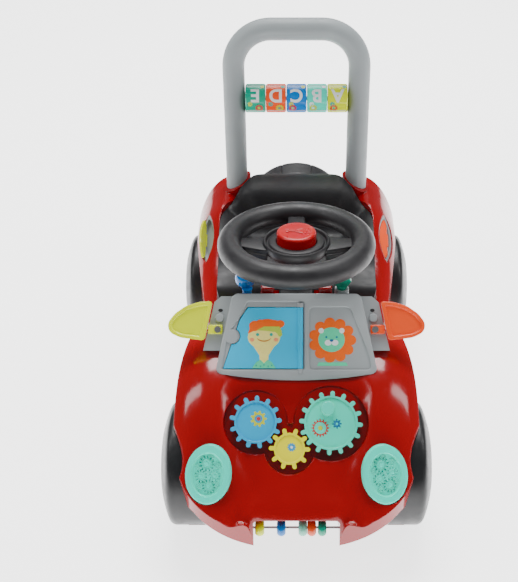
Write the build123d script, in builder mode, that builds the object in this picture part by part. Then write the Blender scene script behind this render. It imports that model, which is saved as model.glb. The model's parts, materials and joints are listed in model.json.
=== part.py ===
from build123d import *

import os
from math import atan2, cos, degrees, hypot, radians, sin, sqrt

# Baby walker: a push car with a seat, play panel, gears, beads and a push handle.
# Millimetres. +X is the car's left-hand side as seen from the front, the car faces -Y, +Z is up.
# The origin is on the floor, under the middle of the whole object.

os.makedirs("parts", exist_ok=True)

# ---------------------------------------------------------------- driving dimensions
wall = 3.0
gap = 0.3
nose_y = -264.5
tail_y = 238.0
body_bottom = 50.0
body_half = 142.0
waist_half = 118.0
widest_y = -150.0
nose_power = 3.2

wheel_radius = 74.0
wheel_inside_x = 110.0
wheel_outside_x = 160.0
arch_clearance = 4.0
well_inside_x = 106.0
front_axle_y = -155.0
rear_axle_y = 181.0
axle_radius = 4.0
axle_running = 0.08
axle_half = 154.0

gear_module = 4.3
gear_slope = 39.0
gear_thick = 9.0
gear_pocket_depth = 12.5
post_radius = 4.0

panel_foot = (0, -125, 184)
panel_slope = 47.4
panel_depth = 90.0
panel_back_y = -26.0
panel_floor_z = 176.0

hub_point = (0, 15, 279)
wheel_lean = 9.0
ring_radius = 81.5
ring_tube = 14.5
hub_radius = 41.0
horn_radius = 24.0

handle_x = 83.0
handle_tube = 14.5
handle_base = (0, 215, 235)
handle_top = (0, 248.8, 447)
roller_z = 355.0
roller_radius = 19.0
roller_pitch = 27.2
roller_gap = 0.6

seat_half = 103.5
seat_front_y = 26.0
seat_back_y = 208.0
seat_pocket_z = 150.0
seat_corner = 66.0

bead_rod_y = -249.0
bead_rod_z = 72.0
bead_radius = 9.8
notch_half = 49.0
notch_top = 93.0


def smooth(t):
    """Rises from 0 to 1 with no corner as t goes from 0 to 1."""
    t = min(1.0, max(0.0, t))
    return t * t * (3 - 2 * t)


def save(piece, name):
    piece.part.label = name
    export_step(piece.part, f"parts/{name}.step")


# ---------------------------------------------------------------- body surface as a height
hood_run = 150.0
hood_rear_y = -115.0
hood_rear_z = 190.0
hood_drop = 97.0
nose_drop = 14.0
cowl_z = 186.0
deck_z = 166.0
tail_z = 205.0
fender_rear_y = -60.0
fender_run = 190.0
fender_rear_z = 200.0
fender_drop = 100.0
shoulder_rise = 60.0
crease_half = 76.0
crease_end_y = -234.0
crease_corner = 60.0
crease_depth = 4.0


def hood_height(y):
    s = (hood_rear_y - y) / hood_run
    slope = hood_rear_z - hood_drop * s - nose_drop * max(s, 0) ** 12
    front = min(slope, cowl_z)
    deck = deck_z + (tail_z - deck_z) * smooth((y - 185) / 22)
    return front + (deck - front) * smooth((y + 50) / 24)


def fender_height(y):
    q = max(0.0, (fender_rear_y - y) / fender_run)
    front = fender_rear_z - fender_drop * q**2.1
    waist = deck_z + 4
    front += (waist - fender_rear_z) * smooth((y - fender_rear_y) / 62)
    return front + shoulder_rise * smooth((y - 20) / 150)


def crease(x, y):
    """Depth of the shallow U that sinks the middle of the hood."""
    over_x = max(abs(x) - crease_half + crease_corner, 0)
    over_y = max(crease_end_y + crease_corner - y, 0)
    outside = hypot(over_x, over_y) - crease_corner
    return crease_depth * (1 - smooth(outside / 8 + 0.5)) * (1 - smooth((y + 135) / 14))


def body_height(x, y):
    side = abs(x)
    outer = smooth((side - 62) / 32)
    top = hood_height(y) * (1 - outer) + fender_height(y) * outer
    fall = 17 + 35 * smooth((y + 20) / 90)
    return top - fall * (side / 140) ** 8 - crease(x, y)


def cross_plane(y):
    """A plane across the car, its own x to +X and its own y up."""
    return Plane(origin=(0, y, 0), x_dir=(1, 0, 0), z_dir=(0, -1, 0))


def side_plane(x):
    """A plane along the car, its own x to +Y and its own y up."""
    return Plane(origin=(x, 0, 0), x_dir=(0, 1, 0), z_dir=(1, 0, 0))


def height_block(height, half, low_y, high_y, pitch, floor, lift=0.0):
    """A solid from floor up to a surface given by its height, lofted through sections across."""
    columns = round(2 * half / 12.5)
    rows = round((high_y - low_y) / pitch)
    across = [-half + 2 * half * i / columns for i in range(columns + 1)]
    with BuildPart() as block:
        for j in range(rows + 1):
            y = low_y + (high_y - low_y) * j / rows
            with BuildSketch(cross_plane(y)):
                with BuildLine():
                    top = Spline([(x, height(x, y) + lift) for x in across])
                    Polyline(top @ 1, (half, floor), (-half, floor), top @ 0)
                make_face()
        loft()
    return block.part


def plan_outline(inset):
    """The body's outline from above, moved in by inset."""
    half = body_half - inset
    waist = waist_half - inset
    nose = widest_y - nose_y - inset
    tail = tail_y - inset
    points = []
    for turn in range(0, 90, 10):
        across = sin(radians(turn)) ** (2 / nose_power) * half
        ahead = cos(radians(turn)) ** (2 / nose_power) * nose
        points.append((across, widest_y - ahead))
    points += [(half, widest_y + 5), (half - 6, -85), (waist + 3, -25), (waist, 10)]
    points += [(waist + 8, 70), (waist + 18, 140), (waist + 18, 190)]
    with BuildSketch() as outline:
        with BuildLine():
            side = Spline(points, tangents=[(1, 0), (0, 1)])
            corner = TangentArc(side @ 1, (90, tail), tangent=side % 1)
            rear = Line(corner @ 1, (0, tail))
            Line(rear @ 1, side @ 0)
        make_face()
        mirror(about=Plane.YZ)
    return outline.sketch


def body_block(inset):
    """The solid inside the body's skin, moved in by inset."""
    with BuildPart() as block:
        add(height_block(body_height, 150, nose_y - 10, 250, 19, 10, -inset))
        with BuildSketch():
            add(plan_outline(inset))
        extrude(amount=300, mode=Mode.INTERSECT)
    return block.part


# ---------------------------------------------------------------- planes and places
lean = radians(wheel_lean)
wheel_axis = (0, sin(lean), cos(lean))
wheel_plane = Plane(origin=hub_point, x_dir=(1, 0, 0), z_dir=wheel_axis)

slope = radians(panel_slope)
panel_plane = Plane(origin=panel_foot, x_dir=(1, 0, 0), z_dir=(0, -sin(slope), cos(slope)))

pitch_angle = radians(gear_slope)
gear_plane = Plane(origin=(0, -170, 162), x_dir=(1, 0, 0), z_dir=(0, -sin(pitch_angle), cos(pitch_angle)))
yellow_teeth, blue_teeth, teal_teeth = 10, 13, 16
yellow_at = (-8.0, -29.7)
blue_span = gear_module * (blue_teeth + yellow_teeth) / 2
teal_span = gear_module * (teal_teeth + yellow_teeth) / 2
blue_across, teal_across = -39.0, 47.6
blue_at = (yellow_at[0] + blue_across, yellow_at[1] + sqrt(blue_span**2 - blue_across**2))
teal_at = (yellow_at[0] + teal_across, yellow_at[1] + sqrt(teal_span**2 - teal_across**2))
gear_places = {"blue": blue_at, "yellow": yellow_at, "teal": teal_at}
gear_teeth = {"blue": blue_teeth, "yellow": yellow_teeth, "teal": teal_teeth}
pocket_margin = {"blue": 6.8, "yellow": 5.4, "teal": 6.7}
gear_addendum = 2.2


def tip_radius(name):
    return gear_module * gear_teeth[name] / 2 + gear_addendum


handle_lean = (Vector(*handle_top) - Vector(*handle_base)).normalized()
handle_plane = Plane(origin=handle_base, x_dir=(1, 0, 0), z_dir=Vector(1, 0, 0).cross(handle_lean))
handle_length = (Vector(*handle_top) - Vector(*handle_base)).length
socket_radius = 19.0
socket_depth = 62.0

headlight_at = (100.0, -221.0, 132.0)
headlight_half = (27.0, 34.5)
headlight_thick = 5.5


def headlight_plane(side):
    x, y, z = headlight_at
    return Plane(
        origin=(side * x, y, z),
        x_dir=(0.97, -0.05 * side, 0.24 * side),
        z_dir=(side * 0.24, -0.743, 0.624),
    )


plate_at = (120.0, 130.0, 198.0)
plate_half = (37.0, 14.5)
plate_deep = 8.0


def plate_plane(side):
    """The sloping shoulder beside the seat, its own x along the car."""
    x, y, z = plate_at
    return Plane(origin=(side * x, y, z), x_dir=(0, 0.894, 0.447), z_dir=(side * 0.72, -0.31, 0.62))


def oval(half_long, half_wide, tip):
    """A pointed oval sketch, its long way along its own x."""
    with BuildSketch() as shape:
        with BuildLine():
            upper = ThreePointArc((-half_long, 0), (0, half_wide), (half_long, 0))
            ThreePointArc((-half_long, 0), (0, -half_wide), (half_long, 0))
        make_face()
        fillet(shape.vertices(), tip)
    return shape.sketch


spare_at = (0, 242.0, 172.0)
spare_radius = 68.0
spare_half = 20.0
spare_recess_y = 221.0


def seat_outline(inset):
    half = seat_half - inset
    with BuildSketch() as outline:
        with Locations((0, (seat_front_y + seat_back_y) / 2)):
            RectangleRounded(2 * half, seat_back_y - seat_front_y - 2 * inset, seat_corner - inset)
        with Locations((0, seat_front_y + 40)):
            RectangleRounded(2 * half, 80 - 2 * inset, 16 - inset / 2)
    return outline.sketch


def panel_block(inset):
    """The windscreen panel with its two wings, moved in by inset."""
    with BuildPart() as block:
        with BuildSketch(panel_plane.offset(-inset)):
            with BuildLine():
                Polyline((-75 + inset, 102 - inset), (75 - inset, 102 - inset), (95 - inset, 9 + inset))
                ThreePointArc((95 - inset, 9 + inset), (0, 0.5 + inset), (-95 + inset, 9 + inset))
                Line((-95 + inset, 9 + inset), (-75 + inset, 102 - inset))
            panel_face = make_face()
            fillet(panel_face.vertices(), 9)
        extrude(amount=inset - panel_depth)
        with BuildSketch(panel_plane.offset(-8.5 - inset)):
            for side in (-1, 1):
                with BuildLine():
                    Polyline(
                        (side * 60, 35 + inset),
                        (side * (110 - inset), 35 + inset),
                        (side * (97 - inset), 92 - inset),
                        (side * (89 - inset), 99 - inset),
                        (side * 60, 99 - inset),
                        close=True,
                    )
                make_face()
        extrude(amount=inset + 8.5 - panel_depth)
        with BuildSketch(Plane.YZ):
            with BuildLine():
                Polyline(
                    (-150, panel_floor_z + 6),
                    (-118, panel_floor_z + 6),
                    (-100, panel_floor_z),
                    (panel_back_y - inset, panel_floor_z),
                    (panel_back_y - inset, 300),
                    (-150, 300),
                    close=True,
                )
            make_face()
        extrude(amount=130, both=True, mode=Mode.INTERSECT)
    return block.part


def arch_tools(grow):
    """The four round spaces that the wheels turn in, and the walls round them if grow is a wall."""
    with BuildPart() as tools:
        for y in (front_axle_y, rear_axle_y):
            for side in (-1, 1):
                with BuildSketch(side_plane(side * (well_inside_x - grow))):
                    with Locations((y, wheel_radius)):
                        Circle(wheel_radius + arch_clearance + grow)
                extrude(amount=side * 60)
    return tools.part


def gear_pocket_tools(grow):
    with BuildPart() as tools:
        for name, (x, y) in gear_places.items():
            with BuildSketch(gear_plane.offset(-gear_pocket_depth - grow)):
                with Locations((x, y)):
                    Circle(tip_radius(name) + pocket_margin[name] + grow)
            extrude(amount=gear_pocket_depth + 22)
    return tools.part


def headlight_tools(grow):
    with BuildPart() as tools:
        for side in (-1, 1):
            with BuildSketch(headlight_plane(side).offset(-headlight_thick - grow)):
                Ellipse(headlight_half[0] + grow, headlight_half[1] + grow)
            extrude(amount=headlight_thick + grow + 30)
    return tools.part


def handle_rods(radius, low, high):
    with BuildPart() as rods:
        for side in (-1, 1):
            foot = Vector(*handle_base) + Vector(side * handle_x, 0, 0)
            with BuildSketch(Plane(origin=foot + handle_lean * low, x_dir=(1, 0, 0), z_dir=handle_lean)):
                Circle(radius)
            extrude(amount=high - low)
    return rods.part


def seat_tools(grow):
    with BuildPart() as tools:
        with BuildSketch(Plane.XY.offset(seat_pocket_z - grow)):
            add(seat_outline(-grow))
        extrude(amount=150)
        add(handle_rods(socket_radius - grow + gap, -2 * socket_depth, 60), mode=Mode.SUBTRACT)
    return tools.part


def spare_tools(grow):
    with BuildPart() as tools:
        with BuildSketch(cross_plane(spare_recess_y - grow)):
            with Locations((0, spare_at[2])):
                Circle(spare_radius + 2 + grow)
        extrude(amount=-60)
    return tools.part


def plate_tools(grow):
    with BuildPart() as tools:
        for side in (-1, 1):
            with BuildSketch(plate_plane(side).offset(-plate_deep - grow)):
                add(oval(plate_half[0] + grow, plate_half[1] + grow, 2))
            extrude(amount=plate_deep + grow + 25)
    return tools.part


# ---------------------------------------------------------------- body shell
with BuildPart() as socket_caps:
    with BuildSketch(cross_plane(handle_base[1])):
        for side in (-1, 1):
            with BuildLine():
                Polyline((side * 55, 250), (side * 120, 216), (side * 120, 300), (side * 55, 300), close=True)
            make_face()
    extrude(amount=40, both=True)

with BuildPart() as notch_ribs:
    with BuildSketch():
        with Locations((-notch_half - wall / 2, nose_y + 20), (notch_half + wall / 2, nose_y + 20)):
            Rectangle(wall, 50)
    extrude(amount=notch_top + 5)

with BuildPart() as collars:
    add(handle_rods(socket_radius, -socket_depth - 6, 20))
    add(socket_caps.part, mode=Mode.SUBTRACT)

with BuildPart() as front_skirt:
    with BuildSketch(cross_plane(nose_y - 10)):
        with BuildLine():
            ThreePointArc((-118, 88), (0, 52), (118, 88))
            Polyline((118, 88), (150, 88), (150, 0), (-150, 0), (-150, 88), (-118, 88))
        make_face()
    extrude(amount=-45)

with BuildPart() as notch_space:
    with BuildSketch(cross_plane(nose_y - 10)):
        with Locations((0, notch_top / 2)):
            RectangleRounded(2 * notch_half, notch_top, 5)
        with Locations((0, notch_top / 4)):
            Rectangle(2 * notch_half, notch_top / 2)
    extrude(amount=-50)

with BuildPart() as floor_space:
    with Locations((0, 0, body_bottom / 2)):
        Box(400, 700, body_bottom)

with BuildPart() as axle_bores:
    for y in (front_axle_y, rear_axle_y):
        with BuildSketch(side_plane(-150)):
            with Locations((y, wheel_radius)):
                Circle(axle_radius)
        extrude(amount=300)

screw_places = [(side * x, y) for x, y in ((92, -175), (96, 0), (60, 120)) for side in (-1, 1)]
screw_radius = 1.6
tray_thick = 5.0
tray_top = body_bottom + tray_thick
screw_head = 4.0
head_deep = 2.5

with BuildPart() as screw_bosses:
    with BuildSketch(Plane.XY.offset(tray_top)):
        with Locations(screw_places):
            Circle(4.5)
    extrude(amount=200)

with BuildPart() as body_screws:
    with BuildSketch(Plane.XY.offset(body_bottom + gap)):
        with Locations(screw_places):
            Circle(screw_head)
    extrude(amount=head_deep - gap)
    with BuildSketch(Plane.XY.offset(body_bottom + head_deep)):
        with Locations(screw_places):
            Circle(screw_radius)
    extrude(amount=18)
save(body_screws, "body_screws")

spare_rear_y = spare_recess_y + 2 * spare_half
bolt_radius = 4.0

with BuildPart() as spare_bolt:
    with BuildSketch(cross_plane(spare_recess_y - 12)):
        with Locations((0, spare_at[2])):
            Circle(bolt_radius)
    extrude(amount=-(spare_rear_y - 5 - spare_recess_y + 12))
    with BuildSketch(cross_plane(spare_rear_y - 5)):
        with Locations((0, spare_at[2])):
            RegularPolygon(9, 6)
    extrude(amount=-4)
save(spare_bolt, "spare_bolt")

with BuildPart() as inner_hollow:
    add(body_block(wall))
    kept = [arch_tools(wall), gear_pocket_tools(wall), headlight_tools(wall), seat_tools(wall + gap)]
    kept += [spare_tools(wall), plate_tools(wall), notch_ribs.part, screw_bosses.part]
    kept += [handle_rods(socket_radius, -socket_depth - 8, 20)]
    add(kept, mode=Mode.SUBTRACT)

bead_rod_radius = 1.5
with BuildPart() as bead_rod:
    with BuildSketch(side_plane(-notch_half - wall)):
        with Locations((bead_rod_y, bead_rod_z)):
            Circle(bead_rod_radius)
    extrude(amount=2 * (notch_half + wall))
save(bead_rod, "bead_rod")

with BuildPart() as body_shell:
    add(body_block(0))
    add(collars.part)
    add(inner_hollow.part, mode=Mode.SUBTRACT)
    cuts = [arch_tools(0), gear_pocket_tools(0), headlight_tools(0), seat_tools(gap), spare_tools(0)]
    cuts += [plate_tools(0), front_skirt.part, notch_space.part, floor_space.part, axle_bores.part]
    cuts += [handle_rods(handle_tube, -socket_depth, 30), panel_block(0), bead_rod.part, body_screws.part]
    cuts += [spare_bolt.part]
    add(cuts, mode=Mode.SUBTRACT)
save(body_shell, "body_shell")

# ---------------------------------------------------------------- chassis tray, axles and screws
tray_front_y = -192.0
saddle_half = 9.0

with BuildPart() as chassis_tray:
    with BuildSketch(Plane.XY.offset(body_bottom)):
        add(plan_outline(wall + gap))
        with Locations((0, tray_front_y - 100)):
            Rectangle(400, 200, mode=Mode.SUBTRACT)
    extrude(amount=tray_thick)
    with BuildSketch(Plane.XY.offset(tray_top)):
        for y in (front_axle_y, rear_axle_y):
            with Locations((-75, y), (75, y)):
                Rectangle(24, 2 * saddle_half)
    extrude(amount=wheel_radius + axle_radius + 4 - tray_top)
    with BuildSketch(Plane.XY.offset(body_bottom)):
        with Locations(screw_places):
            Circle(screw_head + gap)
    extrude(amount=head_deep, mode=Mode.SUBTRACT)
    with BuildSketch(Plane.XY.offset(body_bottom)):
        with Locations(screw_places):
            Circle(screw_radius + gap)
    extrude(amount=tray_thick, mode=Mode.SUBTRACT)
    add([arch_tools(wall + gap), axle_bores.part], mode=Mode.SUBTRACT)
    fillet(chassis_tray.faces().sort_by(Axis.Z)[-4:].edges().filter_by(Axis.X), 6)
save(chassis_tray, "chassis_tray")

for end, y in (("front", front_axle_y), ("rear", rear_axle_y)):
    with BuildPart() as axle:
        with BuildSketch(side_plane(-axle_half)):
            with Locations((y, wheel_radius)):
                Circle(axle_radius)
        extrude(amount=2 * axle_half)
        chamfer(axle.edges(), 0.8)
    save(axle, f"{end}_axle")

# ---------------------------------------------------------------- wheels, their caps and the push nuts
cap_radius = 24.0
cap_thick = 4.0
nut_radius = 9.0
wheel_sides = {"left": 1, "right": -1}
wheel_ends = {"front": front_axle_y, "rear": rear_axle_y}
web_x = 149.0


def wheel_spot(side, y):
    """A plane on the wheel's axis, its own x outward along the axle and its own y up."""
    return Plane(origin=(0, y, wheel_radius), x_dir=(side, 0, 0), z_dir=(0, -side, 0))


for end, y in wheel_ends.items():
    for word, side in wheel_sides.items():
        spot = wheel_spot(side, y)
        axle_line = Axis((0, y, wheel_radius), (1, 0, 0))
        with BuildPart() as wheel:
            with BuildSketch(spot):
                with BuildLine():
                    tread = Line((wheel_inside_x, wheel_radius), (142, wheel_radius))
                    dome = Spline(
                        tread @ 1, (152, 66), (158, 47), (wheel_outside_x, 26), tangents=[(1, 0), (0.04, -1)]
                    )
                    Polyline(dome @ 1, (wheel_outside_x, cap_radius + 0.1), (wheel_outside_x - cap_thick,
                             cap_radius + 0.1), (wheel_outside_x - cap_thick, nut_radius + 1))
                    Polyline((wheel_outside_x - cap_thick, nut_radius + 1), (web_x, nut_radius + 1),
                             (web_x, axle_radius + axle_running),
                             (wheel_inside_x, axle_radius + axle_running))
                    Polyline((wheel_inside_x, axle_radius + axle_running), (wheel_inside_x, 13),
                             (web_x - 4, 13), (web_x, 45), (141, 65), (137, wheel_radius - 4))
                    Polyline((137, wheel_radius - 4), (wheel_inside_x, wheel_radius - 4), tread @ 0)
                make_face()
            revolve(axis=axle_line)
        save(wheel, f"wheel_{end}_{word}")
        with BuildPart() as cap:
            with BuildSketch(spot):
                with BuildLine():
                    Polyline((wheel_outside_x - cap_thick, 0), (wheel_outside_x, 0), (wheel_outside_x, 22.5),
                             (wheel_outside_x - 1.5, cap_radius), (wheel_outside_x - cap_thick, cap_radius),
                             close=True)
                make_face()
            revolve(axis=axle_line)
        save(cap, f"wheel_cap_{end}_{word}")

with BuildPart() as axle_nuts:
    for y in wheel_ends.values():
        for side in (-1, 1):
            with BuildSketch(wheel_spot(side, y)):
                with BuildLine():
                    Polyline((web_x + gap, axle_radius), (web_x + 3.3, axle_radius), (web_x + 3.3, 7),
                             (web_x + 2, nut_radius), (web_x + gap, nut_radius), close=True)
                make_face()
            revolve(axis=Axis((0, y, wheel_radius), (1, 0, 0)))
save(axle_nuts, "axle_nuts")

# ---------------------------------------------------------------- beads on the rod
bead_places = {"yellow": (-47.2, 10.4), "blue": (-22.3, 9.9), "mint": (2.3, 9.7)}
bead_places |= {"coral": (12.4, 9.9), "teal": (24.5, 9.5)}

for colour, (low_x, width) in bead_places.items():
    with BuildPart() as bead:
        with BuildSketch(Plane(origin=(0, bead_rod_y, bead_rod_z), x_dir=(1, 0, 0), z_dir=(0, -1, 0))):
            with BuildLine():
                hole = Line((low_x, bead_rod_radius + 0.9), (low_x + width, bead_rod_radius + 0.9))
                rise = Line(hole @ 1, (low_x + width, bead_radius - 3))
                crown = ThreePointArc(rise @ 1, (low_x + width / 2, bead_radius), (low_x, bead_radius - 3))
                Line(crown @ 1, hole @ 0)
            make_face()
        revolve(axis=Axis((0, bead_rod_y, bead_rod_z), (1, 0, 0)))
    save(bead, f"bead_{colour}")

# ---------------------------------------------------------------- three gears and their posts
tooth_root = 3.6
tooth_wide = 5.0


def bearing(start, end):
    """Angle in degrees of the line from one gear's middle to another's."""
    return degrees(atan2(end[1] - start[1], end[0] - start[0]))


def gear_phase(name):
    """Angle of the first tooth, which puts a tooth of the yellow gear in a gap of the others."""
    first = bearing(yellow_at, blue_at)
    if name == "yellow":
        return first
    step = 360 / yellow_teeth
    ahead = (first - bearing(yellow_at, gear_places[name]) + step / 2) % step - step / 2
    teeth = gear_teeth[name]
    return bearing(gear_places[name], yellow_at) + 180 / teeth - ahead * yellow_teeth / teeth


for name, (x, y) in gear_places.items():
    teeth = gear_teeth[name]
    tip = tip_radius(name)
    root = tip - gear_addendum - tooth_root
    with BuildPart() as gear:
        with BuildSketch(gear_plane.offset(-gear_thick)):
            with Locations((x, y)):
                Circle(root)
                with PolarLocations(0, teeth, start_angle=gear_phase(name)):
                    with Locations(((tip + root) / 2 - 2, 0)):
                        SlotCenterToCenter(tip - root + 4 - tooth_wide, tooth_wide)
        extrude(amount=gear_thick)
        with BuildSketch(gear_plane):
            with Locations((x, y)):
                Circle(root - 2.2)
        extrude(amount=-1.6, mode=Mode.SUBTRACT)
        with BuildSketch(gear_plane.offset(-gear_thick)):
            with Locations((x, y)):
                Circle(root - 2.5)
                Circle(post_radius + 3, mode=Mode.SUBTRACT)
        extrude(amount=gear_thick - 4.0, mode=Mode.SUBTRACT)
        with BuildSketch(gear_plane.offset(-gear_thick)):
            with Locations((x, y)):
                Circle(post_radius + axle_running)
        extrude(amount=gear_thick - 3.0, mode=Mode.SUBTRACT)
        if name == "teal":
            with BuildSketch(gear_plane.offset(-1.6)):
                with Locations((x - 3.6, y + 16.5)):
                    Circle(8.5)
            extrude(amount=8, taper=4)
            outward = Axis(gear_plane.origin, gear_plane.z_dir)
            fillet(gear.faces().sort_by(outward)[-1].edges(), 2)
    save(gear, f"gear_{name}")

with BuildPart() as gear_posts:
    for name, (x, y) in gear_places.items():
        with BuildSketch(gear_plane.offset(-gear_pocket_depth)):
            with Locations((x, y)):
                Circle(post_radius + 3)
        extrude(amount=gear_pocket_depth - gear_thick - 0.4)
        with BuildSketch(gear_plane.offset(-gear_pocket_depth)):
            with Locations((x, y)):
                Circle(post_radius)
        extrude(amount=gear_pocket_depth - 3.6)
save(gear_posts, "gear_posts")

# ---------------------------------------------------------------- headlights
for word, side in wheel_sides.items():
    with BuildPart() as headlight:
        with BuildSketch(headlight_plane(side).offset(-headlight_thick)):
            Ellipse(headlight_half[0] - gap, headlight_half[1] - gap)
        extrude(amount=headlight_thick + 2.5)
        fillet(headlight.edges().group_by(SortBy.LENGTH)[-1], 2)
        with BuildSketch(headlight_plane(side).offset(2.5)):
            Ellipse(headlight_half[0] - 6.5, headlight_half[1] - 6.5)
        extrude(amount=-2, mode=Mode.SUBTRACT)
    save(headlight, f"headlight_{word}")

# ---------------------------------------------------------------- windscreen panel, door and mirrors
door_thick = 3.0
door_line = 4.5
door_low, door_high = 14.0, 86.0
barrel_radius = 3.2
door_pin_radius = 1.25
knuckle_long = 5.0
notch_place = (-75.0, 52.0)
notch_radius = 9.0
mirror_y = 60.0
mirror_pin_radius = 4.0
arm_half = 6.0


def door_outline(grow):
    with BuildSketch() as outline:
        with BuildLine():
            Polyline(
                (-86.0 - grow, door_low - grow),
                (door_line, door_low - grow),
                (door_line, door_high + grow),
                (-57.0 - grow, door_high + grow),
                (-66.5 - grow, 72 + grow),
                close=True,
            )
        make_face()
        with Locations(notch_place):
            Circle(notch_radius - grow, mode=Mode.SUBTRACT)
    return outline.sketch


def across_panel(low):
    """A plane square to the panel's slope, low being the distance up the slope."""
    return Plane(origin=panel_plane.from_local_coords(Vector(0, low, 0)), x_dir=(1, 0, 0),
                 z_dir=panel_plane.y_dir)


with BuildPart() as door_pin:
    with BuildSketch(across_panel(door_low - knuckle_long)):
        with Locations((door_line, 0)):
            Circle(door_pin_radius)
    extrude(amount=door_high - door_low + 2 * knuckle_long)
save(door_pin, "door_hinge_pin")

with BuildPart() as peek_door:
    with BuildSketch(panel_plane.offset(-door_thick + 0.3)):
        add(door_outline(-0.4))
    extrude(amount=door_thick)
    with BuildSketch(across_panel(door_low + 0.4)):
        with Locations((door_line, 0)):
            Circle(barrel_radius)
    extrude(amount=door_high - door_low - 0.8)
    with BuildSketch(across_panel(door_low)):
        with Locations((door_line, 0)):
            Circle(door_pin_radius + 0.1)
    extrude(amount=door_high - door_low, mode=Mode.SUBTRACT)
save(peek_door, "peek_door")

mirror_arm_x = 92.5
bracket_half = 43.0
bracket_front_y = -50.0
shifter_at = (-57.5, -38.0)
shifter_pivot_z = 230.0
shifter_pin_radius = 2.0
key_at = (54.0, -37.0)
key_radius = 4.75
collar_radius = 8.5

with BuildPart() as mirror_pins:
    with BuildSketch(panel_plane.offset(-8.5 - wall)):
        with Locations((-mirror_arm_x, mirror_y), (mirror_arm_x, mirror_y)):
            Circle(mirror_pin_radius / 2)
    extrude(amount=wall + 4.8)
    with BuildSketch(panel_plane.offset(-3.7)):
        with Locations((-mirror_arm_x, mirror_y), (mirror_arm_x, mirror_y)):
            Circle(mirror_pin_radius)
    extrude(amount=1.5)
save(mirror_pins, "mirror_pins")

with BuildPart() as shifter_pin:
    with BuildSketch(side_plane(shifter_at[0] - 11)):
        with Locations((shifter_at[1], shifter_pivot_z)):
            Circle(shifter_pin_radius)
    extrude(amount=22)
save(shifter_pin, "shifter_pin")

with BuildPart() as key_collar:
    with BuildSketch(Plane.XY.offset(232)):
        with Locations(key_at):
            Circle(collar_radius)
            Circle(key_radius + 0.1, mode=Mode.SUBTRACT)
    extrude(amount=20)
    chamfer(key_collar.faces().sort_by(Axis.Z)[-1].edges(), 1)
save(key_collar, "key_collar")

with BuildPart() as panel_openings:
    with BuildSketch(Plane.XY.offset(panel_floor_z)):
        with Locations((0, bracket_front_y - gap + 30)):
            Rectangle(2 * (bracket_half + gap), 60)
    extrude(amount=120)
    with BuildSketch(Plane.XY.offset(shifter_pivot_z - 6)):
        with Locations((shifter_at[0], shifter_at[1] - 1.5)):
            Rectangle(14.4, 19)
    extrude(amount=70)
    with BuildSketch(Plane.XY.offset(225)):
        with Locations(key_at):
            Circle(collar_radius)
    extrude(amount=60)

with BuildPart() as shifter_lugs:
    with BuildSketch(Plane.XY.offset(shifter_pivot_z - 7)):
        with Locations((shifter_at[0] - 9.5, shifter_at[1] - 3), (shifter_at[0] + 9.5, shifter_at[1] - 3)):
            Rectangle(2.6, 14)
    extrude(amount=60)
    add(panel_block(0.5), mode=Mode.INTERSECT)

with BuildPart() as door_bed:
    with BuildSketch(panel_plane.offset(-4.5 - wall)):
        with Locations((-38, 50)):
            Rectangle(108, 92)
    extrude(amount=wall + 3)
    add(panel_block(0.5), mode=Mode.INTERSECT)

with BuildPart() as windscreen_panel:
    add(panel_block(0))
    add(panel_block(wall), mode=Mode.SUBTRACT)
    add([door_bed.part, shifter_lugs.part])
    with BuildSketch(panel_plane):
        add(door_outline(0.4))
    extrude(amount=-4.5, mode=Mode.SUBTRACT)
    with BuildSketch(across_panel(door_low)):
        with Locations((door_line, 0)):
            Circle(barrel_radius + 0.6)
    extrude(amount=door_high - door_low, mode=Mode.SUBTRACT)
    for low in (door_low - knuckle_long, door_high):
        with BuildSketch(across_panel(low)):
            with Locations((door_line, 0)):
                Circle(barrel_radius)
        extrude(amount=knuckle_long)
    cuts = [panel_openings.part, door_pin.part, mirror_pins.part, shifter_pin.part, key_collar.part]
    add(cuts, mode=Mode.SUBTRACT)
save(windscreen_panel, "windscreen_panel")

for word, side in wheel_sides.items():
    with BuildPart() as mirror_piece:
        with BuildSketch(panel_plane.offset(-8.0)) as paddle:
            with BuildLine():
                inner = Line((side * 108, 47), (side * 98.7, 93))
                upper = ThreePointArc(inner @ 1, (side * 130, 88), (side * 150, 70))
                tip = ThreePointArc(upper @ 1, (side * 149, 57), (side * 136, 50))
                Line(tip @ 1, inner @ 0)
            make_face()
            fillet(paddle.vertices(), 4)
        extrude(amount=6)
        with BuildSketch(panel_plane.offset(-2.0)) as face:
            add(paddle.sketch)
            offset(amount=-4, mode=Mode.REPLACE)
        extrude(amount=-1.6, mode=Mode.SUBTRACT)
        with BuildSketch(panel_plane.offset(-8.0)):
            with Locations((side * (mirror_arm_x + 6), mirror_y)):
                SlotCenterToCenter(24 - 2 * arm_half + 4, 2 * arm_half)
        extrude(amount=4)
        with BuildSketch(panel_plane.offset(-9.0)):
            with Locations((side * mirror_arm_x, mirror_y)):
                Circle(mirror_pin_radius / 2 + axle_running)
        extrude(amount=12, mode=Mode.SUBTRACT)
    save(mirror_piece, f"mirror_{word}")

# ---------------------------------------------------------------- steering
ear_at = 34.0
ear_half = 8.0
bracket_top_z = 240.0
slot_half = 21.0
shaft_radius = 7.0
shaft_low = -106.0
hub_low, hub_high = -14.0, 6.0
spoke_half = 11.0

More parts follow.
